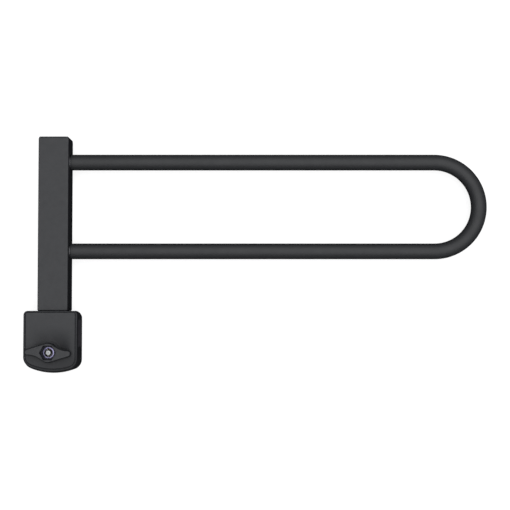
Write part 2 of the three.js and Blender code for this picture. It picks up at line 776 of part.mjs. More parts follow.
function keyPlug() {
  const low = SHEAR_Z + GAP;
  const high = SHELL.web - GAP;
  let plug = turned(
    [
      [0, PLUG.end],
      [PLUG.tail, PLUG.end],
      [PLUG.tail, low],
      [PLUG.disc, low],
      [PLUG.disc, high],
      [PLUG.post, high],
      [PLUG.post, PLUG.front - 0.5],
      [PLUG.post - 0.5, PLUG.front],
      [1.1, PLUG.front],
      [0.5, PLUG.front - 0.8],
      [0, PLUG.front - 0.8],
    ],
    28,
  );
  for (const bore of aroundPins((x, y) => post(PIN_BORE, low - 1, high + 0.1, x, y, 10))) {
    plug = plug.subtract(bore);
  }
  return plug;
}

const DRIVER = { back: 15, floor: 16.5, spring: 4.5, pin: 3.4 };

function driverBlock() {
  let block = post(PLUG.disc, DRIVER.back, SHEAR_Z, 0, 0, 28).subtract(
    post(PLUG.tail + 0.4, DRIVER.back - 1, SHEAR_Z + 1, 0, 0, 24),
  );
  for (const bore of aroundPins((x, y) => post(PIN_BORE, DRIVER.floor, SHEAR_Z + 1, x, y, 10))) {
    block = block.subtract(bore);
  }
  return block;
}

class Coil extends THREE.Curve {
  getPoint(t, target = new THREE.Vector3()) {
    const turns = 3;
    const wire = 0.15;
    const angle = t * turns * FULL_TURN;
    const radius = PIN_RADIUS - wire;
    const height = wire + t * (DRIVER.spring - 2 * wire);
    return target.set(radius * Math.cos(angle), radius * Math.sin(angle), height);
  }
}

function pinSpring() {
  const wire = new THREE.Shape().absarc(0, 0, 0.14, 0, FULL_TURN);
  return solid(
    new THREE.ExtrudeGeometry(wire, { steps: 24, extrudePath: new Coil(), curveSegments: 2 }),
  );
}

function tailCam() {
  return post(3.4, 11.6, 14.4, 0, 0, 32)
    .add(post(ECCENTRIC_RADIUS, 8, 11.7, ECCENTRIC_AT, ECCENTRIC_AT, 16))
    .subtract(post(PLUG.tail + GAP, PLUG.end - GAP, 15, 0, 0, 24));
}

function at(x, y, z, made) {
  made.position.set(x, y, z);
  return made;
}

function core() {
  const springFloor = DRIVER.floor + 0.2;
  const driverFloor = SHEAR_Z - 0.1 - DRIVER.pin;
  const keyPinLength = (index) => SHELL.shoulder - SHEAR_Z - GAP + BITTING[index];
  const pinBody = (length) => post(PIN_RADIUS, 0, length, 0, 0, 10);
  return group(
    KEY_X,
    KEY_Y,
    0,
    mesh("lock_case", lockCase(), HARD_STEEL),
    mesh("case_lid", caseLid(), HARD_STEEL),
    ...CASE_SCREWS.map(caseScrew),
    mesh("turn_knob", turnKnob(), COVER_PLASTIC),
    mesh("knob_spindle", knobSpindle(), ZINC),
    mesh("knob_seal", knobSeal(), RUBBER),
    mesh("spindle_base", spindleBase(), ZINC),
    mesh("interlock_bolt", interlockBolt(), HARD_STEEL),
    mesh("cylinder_shell", cylinderShell(), VIOLET_STEEL),
    mesh("key_plug", keyPlug(), NICKEL),
    mesh("driver_block", driverBlock(), BRASS),
    mesh("tail_cam", tailCam(), HARD_STEEL),
    ...aroundPins((x, y, i) =>
      at(x, y, SHEAR_Z + GAP + 0.1, mesh(`key_pin_${i + 1}`, pinBody(keyPinLength(i)), BRASS)),
    ),
    ...aroundPins((x, y, i) =>
      at(x, y, driverFloor, mesh(`driver_pin_${i + 1}`, pinBody(DRIVER.pin), BRASS)),
    ),
    ...aroundPins((x, y, i) =>
      at(x, y, springFloor, mesh(`pin_spring_${i + 1}`, pinSpring(), SPRING_STEEL)),
    ),
  );
}

const lock = new THREE.Group();
lock.add(shackle(), crossbar(), head(), core());

export default lock;
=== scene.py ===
# A long-shackle U-lock lying on its back on a pale studio floor, in metres and in the CAD
# model's frame: +X along the shackle, +Y along the crossbar, +Z out of the key side.

import json
import math

import bmesh
import bpy
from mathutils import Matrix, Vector


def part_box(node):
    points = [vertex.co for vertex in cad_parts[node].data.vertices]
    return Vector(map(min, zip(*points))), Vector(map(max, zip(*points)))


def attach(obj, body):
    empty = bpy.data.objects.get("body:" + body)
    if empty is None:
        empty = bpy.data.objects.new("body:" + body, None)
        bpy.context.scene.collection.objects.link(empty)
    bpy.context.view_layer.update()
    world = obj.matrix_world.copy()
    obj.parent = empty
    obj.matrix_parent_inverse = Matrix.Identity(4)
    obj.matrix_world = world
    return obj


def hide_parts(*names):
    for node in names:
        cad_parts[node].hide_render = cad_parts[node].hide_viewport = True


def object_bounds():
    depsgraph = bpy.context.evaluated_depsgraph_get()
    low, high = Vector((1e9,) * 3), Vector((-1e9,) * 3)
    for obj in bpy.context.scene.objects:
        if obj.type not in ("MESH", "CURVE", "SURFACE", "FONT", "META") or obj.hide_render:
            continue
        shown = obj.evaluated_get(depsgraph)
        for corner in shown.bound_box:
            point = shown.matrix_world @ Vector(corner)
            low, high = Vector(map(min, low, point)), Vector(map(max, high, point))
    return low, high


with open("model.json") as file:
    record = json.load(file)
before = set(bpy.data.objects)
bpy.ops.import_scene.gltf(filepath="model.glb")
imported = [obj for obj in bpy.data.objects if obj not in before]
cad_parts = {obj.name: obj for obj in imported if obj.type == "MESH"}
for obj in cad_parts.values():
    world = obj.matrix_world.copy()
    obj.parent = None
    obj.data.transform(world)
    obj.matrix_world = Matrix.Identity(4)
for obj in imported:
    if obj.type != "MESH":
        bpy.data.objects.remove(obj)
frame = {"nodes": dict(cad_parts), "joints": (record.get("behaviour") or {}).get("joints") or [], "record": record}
cad_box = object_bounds()

MM = 0.001
X, Y, Z = Vector((1, 0, 0)), Vector((0, 1, 0)), Vector((0, 0, 1))
SHARP_FROM = 32  # degrees between two faces


# ---- Places, from the frame ----

def joint_point(name):
    """A hinge's point in the row frame."""
    joint = next(j for j in frame["joints"] if j["name"] == name)
    return Vector(joint["pos_m"])


def axis_of(name):
    """The point at the back of the frame under the middle of a CAD node."""
    low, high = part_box(name)
    return Vector(((low.x + high.x) / 2, (low.y + high.y) / 2, 0))


HEAD_SCREWS, PIN_STACKS = 4, 7
KEY = joint_point("knob_turn")
BAR_LOW, BAR_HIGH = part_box("crossbar_cover")
ROD_LOW, ROD_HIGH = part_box("shackle_rod")
COAT_LOW, COAT_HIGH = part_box("shackle_coating")
FRONT_LOW, FRONT_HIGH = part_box("head_front")
REAR_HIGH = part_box("head_rear")[1]
KNOB_LOW, KNOB_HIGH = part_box("turn_knob")
CYLINDER_LOW, CYLINDER_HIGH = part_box("cylinder_shell")
PLUG_LOW, PLUG_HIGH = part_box("key_plug")

ROD_Z = (COAT_LOW.z + COAT_HIGH.z) / 2
COAT_RADIUS = (COAT_HIGH.z - COAT_LOW.z) / 2
ROD_RADIUS = (ROD_HIGH.z - ROD_LOW.z) / 2
LEG_Y = COAT_HIGH.y - COAT_RADIUS
BOW_X = COAT_HIGH.x - COAT_RADIUS - LEG_Y
BAR_HALF = (BAR_HIGH.x - BAR_LOW.x) / 2


# ---- Meshes: rings of points joined into skins ----

def tidy_mesh(piece):
    """Merges doubled points and turns the faces outwards."""
    mesh = bmesh.new()
    mesh.from_mesh(piece.data)
    bmesh.ops.remove_doubles(mesh, verts=mesh.verts, dist=1e-7)
    bmesh.ops.recalc_face_normals(mesh, faces=mesh.faces)
    mesh.to_mesh(piece.data)
    mesh.free()


def skin(name, rings, tube_closed=False):
    """A mesh through closed rings of equally many points. Its two ends are capped, unless
    tube_closed joins the last ring to the first."""
    count = len(rings[0])
    points = [tuple(p) for ring in rings for p in ring]
    faces = []
    last = len(rings) if tube_closed else len(rings) - 1
    for r in range(last):
        a, b = r * count, (r + 1) % len(rings) * count
        for i in range(count):
            j = (i + 1) % count
            faces.append((a + i, a + j, b + j, b + i))
    if not tube_closed:
        faces.append(tuple(range(count)))
        faces.append(tuple(range(len(points) - 1, len(points) - 1 - count, -1)))
    mesh = bpy.data.meshes.new(name)
    mesh.from_pydata(points, [], faces)
    piece = bpy.data.objects.new(name, mesh)
    bpy.context.scene.collection.objects.link(piece)
    tidy_mesh(piece)
    return piece


def turned(name, profile, origin, axis=Z, segments=96, closed=False):
    """A profile of (radius, height) pairs in mm, turned about axis through origin."""
    turn = axis.to_track_quat("Z", "Y").to_matrix()
    rings = []
    for radius, height in profile:
        ring = []
        for i in range(segments):
            angle = 2 * math.pi * i / segments
            local = Vector((radius * math.cos(angle), radius * math.sin(angle), height)) * MM
            ring.append(origin + turn @ local)
        rings.append(ring)
    return skin(name, rings, tube_closed=closed)


def block(name, low, high):
    """A cutter: a plain box, never shown."""
    corners = [(low.x, low.y), (high.x, low.y), (high.x, high.y), (low.x, high.y)]
    return skin(name, [[Vector((x, y, z)) for x, y in corners] for z in (low.z, high.z)])


def prism(name, outline, place, low, high):
    """A cutter: an outline swept along the third axis of place, a function of (u, v, w)."""
    return skin(name, [[place(u, v, w) for u, v in outline] for w in (low, high)])


def combine(piece, others, operation="DIFFERENCE"):
    """Joins other meshes to piece, or cuts them out of it, and removes them."""
    for other in others:
        boolean = piece.modifiers.new("boolean", "BOOLEAN")
        boolean.operation = operation
        boolean.object = other
        boolean.solver = "EXACT"
    graph = bpy.context.evaluated_depsgraph_get()
    result = bpy.data.meshes.new_from_object(piece.evaluated_get(graph))
    piece.modifiers.clear()
    piece.data = result
    for other in others:
        bpy.data.objects.remove(other)
    return piece


def settle(piece, body, slot, cad_name, finish=None):
    """Shades the piece, gives it its slot's finish or the one given, and puts it in place of
    its CAD node."""
    for polygon in piece.data.polygons:
        polygon.use_smooth = True
    piece.data.set_sharp_from_angle(angle=math.radians(SHARP_FROM))
    weighted = piece.modifiers.new("weighted_normals", "WEIGHTED_NORMAL")
    weighted.keep_sharp = True
    piece.data.materials.clear()
    piece.data.materials.append(finish or FINISHES[slot])
    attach(piece, body)
    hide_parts(cad_name)
    return piece


def arc(cx, cy, radius, start, end, steps, full=False):
    """Points on an arc, in mm. Angles are in degrees, and full keeps the last point too."""
    points = []
    for i in range(steps + full):
        angle = math.radians(start + (end - start) * i / steps)
        points.append((cx + radius * math.cos(angle), cy + radius * math.sin(angle)))
    return points


def spread(outline, step):
    """The closed outline with its long sides divided, so that no side is over step mm."""
    points = []
    for i, (x, y) in enumerate(outline):
        nx, ny = outline[(i + 1) % len(outline)]
        parts = max(1, math.ceil(math.hypot(nx - x, ny - y) / step - 1e-6))
        points += [(x + (nx - x) * k / parts, y + (ny - y) * k / parts) for k in range(parts)]
    return points


def rounded_rectangle(half_u, half_v, radius, steps=6):
    """Points round a rectangle with round corners, in mm."""
    u, v = half_u - radius, half_v - radius
    return (
        arc(u, v, radius, 0, 90, steps, True)
        + arc(-u, v, radius, 90, 180, steps, True)
        + arc(-u, -v, radius, 180, 270, steps, True)
        + arc(u, -v, radius, 270, 360, steps, True)
    )


# ---- Materials ----

def node(tree, kind, x, y, **settings):
    """A new shader node, placed at (x, y) in the editor."""
    made = tree.nodes.new(kind)
    made.location = (x, y)
    for key, value in settings.items():
        setattr(made, key, value)
    return made


def noise(tree, size_mm, detail, x, y, stretch=(1, 1, 1)):
    """Noise with features of about size_mm, fixed to the piece. Returns its value socket."""
    place = node(tree, "ShaderNodeTexCoord", x - 600, y)
    mapping = node(tree, "ShaderNodeMapping", x - 400, y)
    mapping.inputs["Scale"].default_value = stretch
    made = node(tree, "ShaderNodeTexNoise", x - 200, y)
    made.inputs["Scale"].default_value = 1000 / size_mm
    made.inputs["Detail"].default_value = detail
    tree.links.new(place.outputs["Object"], mapping.inputs["Vector"])
    tree.links.new(mapping.outputs["Vector"], made.inputs["Vector"])
    return made.outputs["Fac"]


def ranged(tree, socket, low, high, x, y, start=0.3, end=0.7):
    """The socket's values between start and end, spread from low to high."""
    made = node(tree, "ShaderNodeMapRange", x, y)
    made.inputs["From Min"].default_value = start
    made.inputs["From Max"].default_value = end
    made.inputs["To Min"].default_value = low
    made.inputs["To Max"].default_value = high
    tree.links.new(socket, made.inputs["Value"])
    return made.outputs["Result"]


def edge_mask(tree, radius_mm, x, y):
    """Near 1 on outer edges and inner corners, 0 on flats: where a rounded normal differs."""
    bevel = node(tree, "ShaderNodeBevel", x - 400, y, samples=4)
    bevel.inputs["Radius"].default_value = radius_mm * MM
    geometry = node(tree, "ShaderNodeNewGeometry", x - 400, y - 150)
    dot = node(tree, "ShaderNodeVectorMath", x - 200, y, operation="DOT_PRODUCT")
    tree.links.new(bevel.outputs["Normal"], dot.inputs[0])
    tree.links.new(geometry.outputs["Normal"], dot.inputs[1])
    return ranged(tree, dot.outputs["Value"], 1, 0, x, y, 0.86, 0.995)


def where_painted_shade_matt(tree, plain, shade_matt_value, kind, x, y):
    """The plain socket, going over to the given value where the mesh's amount of painted shade is 1: used for the
    darker colour that paints shade, and for the matt roughness.
    """
    mesh_says = node(tree, "ShaderNodeAttribute", x - 200, y - 200, attribute_name="painted_shade_matt")
    made = node(tree, "ShaderNodeMix", x, y, data_type=kind)
    made.inputs["B"].default_value = shade_matt_value
    tree.links.new(mesh_says.outputs["Fac"], made.inputs["Factor"])
    tree.links.new(plain, made.inputs["A"])
    return made.outputs["Result"]


def finish_material(
    name,
    colour,
    roughness,
    metallic=0.0,
    specular=0.5,
    mottle=0.12,
    mottle_mm=18,
    grain_mm=0.5,
    grain=0.1,
    grain_depth_mm=0.03,
    brushed=(1, 1, 1),
    wear=0.3,
    wear_colour=None,
    painted_shade_matt=None,
):
    """A procedural finish: mottled colour, uneven gloss, a fine grain and worn edges. The
    roughness goes from its first value to its second in patches. The last argument gives a darker
    colour, which paints shade, and a matt roughness, which the mesh's own amounts of painted shade lead to."""
    material = bpy.data.materials.new(name)
    material.use_nodes = True
    tree = material.node_tree
    shader = tree.nodes["Principled BSDF"]
    shader.inputs["Metallic"].default_value = metallic
    shader.inputs["Specular IOR Level"].default_value = specular

    broad = noise(tree, mottle_mm, 4, -600, 300)
    tone = node(tree, "ShaderNodeMix", -300, 300, data_type="RGBA")
    tone.inputs["A"].default_value = (*[c * (1 - mottle) for c in colour], 1)
    tone.inputs["B"].default_value = (*[min(1, c * (1 + mottle)) for c in colour], 1)
    tree.links.new(ranged(tree, broad, 0, 1, -450, 150), tone.inputs["Factor"])

    patch_mm, edge_mm, rubbed_share = 3, 0.7, 1.7
    patchy = ranged(tree, noise(tree, patch_mm, 5, -600, 600), 0, wear, -450, 600, 0.4, 0.75)
    worn = node(tree, "ShaderNodeMath", -300, 600, operation="MULTIPLY")
    tree.links.new(edge_mask(tree, edge_mm, -600, 850), worn.inputs[0])
    tree.links.new(patchy, worn.inputs[1])
    rubbed = node(tree, "ShaderNodeMix", -150, 450, data_type="RGBA")
    rubbed_colour = wear_colour or [min(1, rubbed_share * c) for c in colour]
    rubbed.inputs["B"].default_value = (*rubbed_colour, 1)
    tree.links.new(worn.outputs[0], rubbed.inputs["Factor"])
    plain = tone.outputs["Result"]
    # Painted shade: where the mesh's values ask for it, the base colour goes over to a darker one that stands in
    # for the shade round the knob.
    if painted_shade_matt:
        painted_shade_colour, matt_roughness = painted_shade_matt
        plain = where_painted_shade_matt(tree, plain, (*painted_shade_colour, 1), "RGBA", -220, 300)
    tree.links.new(plain, rubbed.inputs["A"])
    tree.links.new(rubbed.outputs["Result"], shader.inputs["Base Color"])

    low, high = roughness
    smears = noise(tree, mottle_mm / 3, 6, -600, -50, brushed)
    gloss = ranged(tree, smears, low, high, -300, -50)
    if painted_shade_matt:
        gloss = where_painted_shade_matt(tree, gloss, matt_roughness, "FLOAT", -150, -50)
    tree.links.new(gloss, shader.inputs["Roughness"])

    fine = noise(tree, grain_mm, 3, -600, -350, brushed)
    bump = node(tree, "ShaderNodeBump", -300, -350)
    bump.inputs["Strength"].default_value = grain
    bump.inputs["Distance"].default_value = grain_depth_mm * MM
    tree.links.new(fine, bump.inputs["Height"])
    tree.links.new(bump.outputs["Normal"], shader.inputs["Normal"])
    return material


def cover_plastic(name="black_moulded_nylon", painted_shade_matt=None):
    """Black nylon with the fine spark-eroded texture of its mould."""
    return finish_material(
        name,
        (0.0205, 0.0215, 0.0245),
        (0.44, 0.52),
        specular=0.42,
        mottle=0.05,
        mottle_mm=12,
        grain_mm=0.55,
        grain=0.5,
        grain_depth_mm=0.05,
        wear=0.5,
        wear_colour=(0.045, 0.045, 0.049),
        painted_shade_matt=painted_shade_matt,
    )


def vinyl():
    """Smooth dipped vinyl, satin, with a very slight unevenness."""
    return finish_material(
        "black_satin_vinyl",
        (0.0195, 0.0205, 0.0225),
        (0.5, 0.57),
        specular=0.42,
        mottle=0.06,
        mottle_mm=30,
        grain_mm=2.2,
        grain=0.12,
        grain_depth_mm=0.06,
    )


def soft_grip():
    """Dark grey thermoplastic rubber, a little paler than the shells round it."""
    return finish_material(
        "grey_soft_rubber",
        (0.052, 0.05, 0.058),
        (0.55, 0.7),
        specular=0.45,
        mottle_mm=9,
        grain_mm=0.4,
        grain=0.4,
    )


def nylon():
    return finish_material(
        "natural_nylon", (0.62, 0.6, 0.53), (0.4, 0.55), mottle=0.06, grain_mm=1.5, grain=0.15
    )


def hard_steel():
    return finish_material(
        "ground_hard_steel",
        (0.33, 0.33, 0.345),
        (0.26, 0.42),
        metallic=1,
        mottle_mm=7,
        grain_mm=0.6,
        grain=0.16,
        brushed=(0.15, 1, 1),
        wear=0.5,
        wear_colour=(0.6, 0.6, 0.62),
    )


def spring_steel():
    return finish_material(
        "drawn_steel",
        (0.45, 0.45, 0.47),
        (0.22, 0.36),
        metallic=1,
        mottle_mm=4,
        grain_mm=0.4,
        grain=0.12,
        brushed=(1, 1, 0.2),
    )


def dark_zinc():
    return finish_material(
        "black_passivated_zinc",
        (0.012, 0.012, 0.016),
        (0.4, 0.55),
        metallic=0.6,
        specular=0.3,
        mottle_mm=5,
        grain_mm=0.7,
        grain=0.3,
        wear=0.4,
        wear_colour=(0.11, 0.11, 0.13),
    )


def violet_steel():
    """Polished steel with the violet colour of its coating, streaked by turning."""
    return finish_material(
        "violet_polished_steel",
        (0.2, 0.19, 0.3),
        (0.2, 0.32),
        metallic=1,
        mottle=0.25,
        mottle_mm=4,
        grain_mm=0.35,
        brushed=(1, 1, 0.15),
        wear=0.7,
        wear_colour=(0.3, 0.29, 0.42),
    )


def nickel():
    return finish_material(
        "bright_nickel",
        (0.37, 0.375, 0.38),
        (0.42, 0.54),
        metallic=1,
        mottle=0.1,
        mottle_mm=3,
        grain_mm=0.3,
        grain=0.08,
    )


def brass():
    return finish_material(
        "turned_brass",
        (0.3, 0.22, 0.1),
        (0.45, 0.6),
        metallic=1,
        mottle=0.16,
        mottle_mm=3,
        grain_mm=0.3,
    )


def seal_rubber():
    return finish_material(
        "nitrile_rubber", (0.012, 0.012, 0.012), (0.5, 0.7), mottle_mm=4, grain_mm=0.5, grain=0.2
    )


FINISHES = {
    "cover_plastic": cover_plastic(),
    "vinyl": vinyl(),
    "soft_grip": soft_grip(),
    "nylon": nylon(),
    "hard_steel": hard_steel(),
    "spring_steel": spring_steel(),
    "dark_zinc": dark_zinc(),
    "violet_steel": violet_steel(),
    "nickel": nickel(),
    "brass": brass(),
    "seal_rubber": seal_rubber(),
}


def finish_cad_nodes():
    """Every carried-over CAD node gets its slot's procedural finish."""
    slots = {part["node"]: part["material_slot"] for part in frame["record"]["subparts"]}
    for name, cad_node in frame["nodes"].items():
        cad_node.data.materials.clear()
        cad_node.data.materials.append(FINISHES[slots[name]])


# ---- Shackle ----

def shackle_path(start_x):
    """(point, sideways direction) pairs out along one leg, round the bow and back."""
    bow_steps = 72
    path = [(Vector((start_x, LEG_Y, ROD_Z)), Y)]
    for i in range(bow_steps + 1):
        angle = math.pi * (0.5 - i / bow_steps)
        outward = Vector((math.cos(angle), math.sin(angle), 0))
        path.append((Vector((BOW_X, 0, ROD_Z)) + outward * LEG_Y, outward))
    path.append((Vector((start_x, -LEG_Y, ROD_Z)), -Y))
    return path


def hoop(centre, outward, radius, sides):
    """A ring of points across the shackle's rod."""
    ring = []
    for i in range(sides):
        angle = 2 * math.pi * i / sides
        ring.append(centre + (outward * math.cos(angle) + Z * math.sin(angle)) * radius)
    return ring


def swept(name, start_x, ends, sides=64):
    """The shackle's path with its ends shaped by (setback, radius) pairs, tip first, in mm."""
    path = shackle_path(start_x)
    full = ends[-1][1] * MM

    def shaped(centre, outward):
        return [hoop(centre + X * back * MM, outward, r * MM, sides) for back, r in ends]

    rings = shaped(*path[0])
    rings += [hoop(centre, outward, full, sides) for centre, outward in path[1:-1]]
    rings += reversed(shaped(*path[-1]))
    return skin(name, rings)


def shackle_coating():
    """The vinyl tube, with softly rolled ends round the steel."""
    radius = COAT_RADIUS / MM
    lip = 1.1
    ends = []
    for i in range(7):
        angle = math.radians(15 * i)
        ends.append((lip * (1 - math.cos(angle)), radius - lip * (1 - math.sin(angle))))
    tube = swept("vinyl_tube", COAT_LOW.x, ends)
    bore = ROD_RADIUS / MM + 0.05
    flare = bore + 0.5
    depth = 30
    profile = [(0, -1), (flare, -1), (flare, 0.1), (bore, 0.7), (bore, depth), (0, depth)]
    bores = [
        turned("bore", profile, Vector((COAT_LOW.x, y, ROD_Z)), X, 64) for y in (LEG_Y, -LEG_Y)
    ]
    return settle(combine(tube, bores), "shackle", "vinyl", "shackle_coating")


def shackle_rod():
    """The steel rod: tapered tips, and a notch for a bolt in each foot."""
    radius = ROD_RADIUS / MM - 0.05
    ends = [(0, radius - 2.4), (0.25, radius - 2.0), (1.9, radius - 0.25), (2.4, radius)]
    rod = swept("steel_rod", ROD_LOW.x, ends, 56)
    notch_low, notch_high, notch_depth = -5.0, 3.6, 5.0
    over = ROD_RADIUS * 1.5
    cutters = []
    for y in (LEG_Y, -LEG_Y):
        bottom = y - ROD_RADIUS
        low = Vector((notch_low * MM, bottom - 2 * MM, ROD_Z - over))
        high = Vector((notch_high * MM, bottom + notch_depth * MM, ROD_Z + over))
        cutters.append(block("notch", low, high))
    combine(rod, cutters)
    soften(rod, 0.35)
    return settle(rod, "shackle", "hard_steel", "shackle_rod")


def soften(piece, width_mm):
    """Small rounded edges wherever faces meet at more than 40 degrees."""
    bevel = piece.modifiers.new("softened", "BEVEL")
    bevel.width = width_mm * MM
    bevel.segments = 2
    bevel.limit_method = "ANGLE"
    bevel.angle_limit = math.radians(40)
    bevel.use_clamp_overlap = True


# ---- Crossbar ----

COVER_WALL = 1.7
COVER_EDGE = 1.1
COVER_SWELL = 0.35
FOOT_HOLE = 8.4


def bar_section(inset):
    """The cover across its length, in mm, drawn in by inset. Its closed side is swollen, and
    the edges there are deeper than they are wide."""
    half = BAR_HALF / MM - inset
    wide = max(COVER_EDGE - 0.4 * inset, 0.5)
    outline = []
    for side_u, side_v in ((1, 1), (-1, 1), (-1, -1), (1, -1)):
        deep = wide if side_u > 0 else 1.8 * wide
        swell = 0 if side_u > 0 else COVER_SWELL
        steps = range(9) if side_u == side_v else range(8, -1, -1)
        for i in steps:
            angle = math.radians(11.25 * i)
            u = half + swell - wide * (1 - math.cos(angle))
            v = half - deep * (1 - math.sin(angle))
            outline.append((side_u * u, side_v * v))
    return spread(outline, 4)


def crossbar_cover():
    """The square plastic cover: fine edges, a drawn-in closed end and a hole for each foot."""
    inset, along = 1.6, 3.2
    top = BAR_HIGH.y / MM
    bottom = HEAD_TOP + 0.02
    steps = [(1.1, bottom), (0.8, bottom + 0.1), (0.3, bottom + 0.5), (0, bottom + 1.2)]
    steps += [(0, bottom + (top - along - bottom) * i / 24) for i in range(1, 24)]
    for i in range(11):
        angle = math.radians(9 * i)
        steps.append((inset * (1 - math.cos(angle)), top - along * (1 - math.sin(angle))))
    rings = []
    for drawn_in, y in steps:
        section = bar_section(drawn_in)
        rings.append([Vector((u, y, ROD_Z / MM + v)) * MM for u, v in section])
    cover = skin("bar_cover", rings)
    wall = COVER_WALL * MM
    inside = block(
        "inside",
        Vector((BAR_LOW.x + wall, BAR_LOW.y - 2 * MM, BAR_LOW.z + wall)),
        Vector((BAR_HIGH.x - wall, BAR_HIGH.y - 2.3 * MM, BAR_HIGH.z - wall)),
    )
    hole = FOOT_HOLE
    profile = [(0, -8), (hole, -8), (hole, -0.5), (hole + 0.5, 0), (hole + 0.6, 1), (0, 1)]
    holes = [
        turned("foot_hole", profile, Vector((BAR_HIGH.x, y, ROD_Z)), X, 64)
        for y in (LEG_Y, -LEG_Y)
    ]
    return settle(combine(cover, [inside, *holes]), "frame", "cover_plastic", "crossbar_cover")


# ---- Head ----

HEAD_X = (FRONT_LOW.x + FRONT_HIGH.x) / 2 / MM
HEAD_HALF = (FRONT_HIGH.x - FRONT_LOW.x) / 2 / MM
HEAD_TOP = FRONT_HIGH.y / MM
HEAD_BOTTOM = FRONT_LOW.y / MM
HEAD_WALL = 2.5
TOP_CORNER, BACK_CORNER, LOW_CORNER = 4.6, 8.6, 12  # the upper ones at the face and the back
SOLE_RADIUS, SOLE_X = 68, 1.7
EDGE_WIDTH = 1.5
FRONT_EDGE, BACK_EDGE = 2.6, 1.6
SOLE_SPREAD, TOP_GIVE = 0.2, 0.3  # more inset at the sole and less at the top, per mm of it
DRAFT_FROM, SOLE_DRAFT = 33, 1.4  # from this height up, the sole is drawn in by this much
CREASE = (  # inset and depth
    (1.75, 0.03),
    (1.9, 0.2),
    (2.1, 0.65),
    (2.35, 0.85),
    (2.6, 0.65),
    (2.85, 0.2),
    (3.05, 0.03),
    (3.2, 0),
)
FACE_START = 3.4
KEY_X, KEY_Y = KEY.x / MM, KEY.y / MM
SPINDLE_HOLE = 11.1
SCOOP_DEPTH, SCOOP_LENGTH, SCOOP_LOW = 5.0, 30, -4.5
# Painted shade: a darker base colour for the face round the knob, standing in for the shade there, with a matt
# roughness.
PAINTED_SHADE_COLOUR, MATT_ROUGHNESS = (0.0135, 0.0142, 0.0162), 0.72


def head_outline(inset, corner=TOP_CORNER, lift=0.0, give=0.0):
    """The head from the front, in mm, drawn in by inset: straight sides and an arched sole.
    lift draws the sole in further, and give lets the top out again."""
    left, right = HEAD_X - HEAD_HALF + inset, HEAD_X + HEAD_HALF - inset
    top = HEAD_TOP - inset + give
    corner = max(corner - inset, 0.6)
    low = LOW_CORNER - inset
    sole = SOLE_RADIUS - inset
    sole_y = HEAD_BOTTOM + SOLE_RADIUS + lift

    def low_corner(x):
        y = sole_y - math.sqrt((sole - low) ** 2 - (x - SOLE_X) ** 2)
        return x, y, math.degrees(math.atan2(y - sole_y, x - SOLE_X))

    left_x, left_y, left_join = low_corner(left + low)
    right_x, right_y, right_join = low_corner(right - low)
    parts = [
        arc(right - corner, top - corner, corner, 0, 90, 8, True),
        arc(left + corner, top - corner, corner, 90, 180, 8, True),
        arc(left_x, left_y, low, 180, left_join + 360, 14),
        arc(SOLE_X, sole_y, sole, left_join, right_join, 60),
        arc(right_x, right_y, low, right_join, 0, 14, True),
    ]
    straights = {0: 56, 1: 48, 4: 48}
    points = []
    for index, part in enumerate(parts):
        points += part
        x, y = part[-1]
        to_x, to_y = parts[(index + 1) % len(parts)][0]
        pieces = straights.get(index, 0)
        for k in range(1, pieces):
            share = k / pieces
            points.append((x + (to_x - x) * share, y + (to_y - y) * share))
    return points


def smooth(x, start, end):
    """0 before start, 1 after end, and a smooth step between."""
    t = min(1, max(0, (x - start) / (end - start)))
    return t * t * (3 - 2 * t)


def scoop(x, y):
    """How far the face falls away above the knob's wings, to leave room for a fingertip. It is
    deepest just above the right wing, stops under the wings, and spares the spindle's hole."""
    u, v = x - KEY_X, y - KEY_Y
    fall = min(1, max(0, 1 - (v - 1) / SCOOP_LENGTH)) ** 1.9
    across = 0.4 * smooth(u, -26, -9) + 0.6 * smooth(u, -3, 8)
    across *= 1 - smooth(u, 12, 26)
    under_wing = smooth(v, SCOOP_LOW, SCOOP_LOW + 6) if u > 0 else smooth(v, 2, 9)
    collar = smooth(math.hypot(u, v), SPINDLE_HOLE + 0.4, SPINDLE_HOLE + 3.6)
    return SCOOP_DEPTH * fall * across * under_wing * collar


def painted_shade_matt_amount(x, y):
    """How far the face is darkened and made matt, from 0 to 1: painted shade, strongest in the scoop above the
    knob and weaker below it, where the mould's finish is also coarser.
    """
    u, v = x - KEY_X, y - KEY_Y
    above = (1 - smooth(v, 6, 34)) * (1 - 0.7 * smooth(abs(u - 3), 5, 27))
    below = 0.5 + 0.2 * smooth(u, -14, 16)
    return above + (below - above) * smooth(-v, -2, 9)


def blended(outline, radius, share, height, drop=0):
    """A ring between the outline and a circle round the key's axis, drop below the height."""
    ring = []
    for x, y in outline:
        dx, dy = x - KEY_X, y - KEY_Y
        away = math.hypot(dx, dy)
        cx, cy = KEY_X + dx / away * radius, KEY_Y + dy / away * radius
        px, py = x + (cx - x) * share, y + (cy - y) * share
        ring.append(Vector((px, py, height(px, py) - drop)) * MM)
    return ring


def flat_ring(inset, z, corner=TOP_CORNER, lift=0.0, give=0.0):
    """The head's outline as a level ring."""
    return [Vector((x, y, z)) * MM for x, y in head_outline(inset, corner, lift, give)]


def shell_edge(face_z, deep, corner, draft=0.0):
    """Rings over the rounded edge and the fine crease inside it, from the side to the face.
    Both are wider across the sole, which starts drawn in by draft, and narrower along the top.
    deep is the edge's height, below 0 for the back."""
    steps = []
    for i in range(11):
        angle = math.radians(9 * i)
        steps.append((EDGE_WIDTH * (1 - math.cos(angle)), deep * (1 - math.sin(angle))))
    steps += [(inset, math.copysign(depth, deep)) for inset, depth in CREASE]
    rings = []
    for inset, drop in steps:
        lift = draft + SOLE_SPREAD * inset
        rings.append(flat_ring(inset, face_z - drop, corner, lift, TOP_GIVE * inset))
    return rings


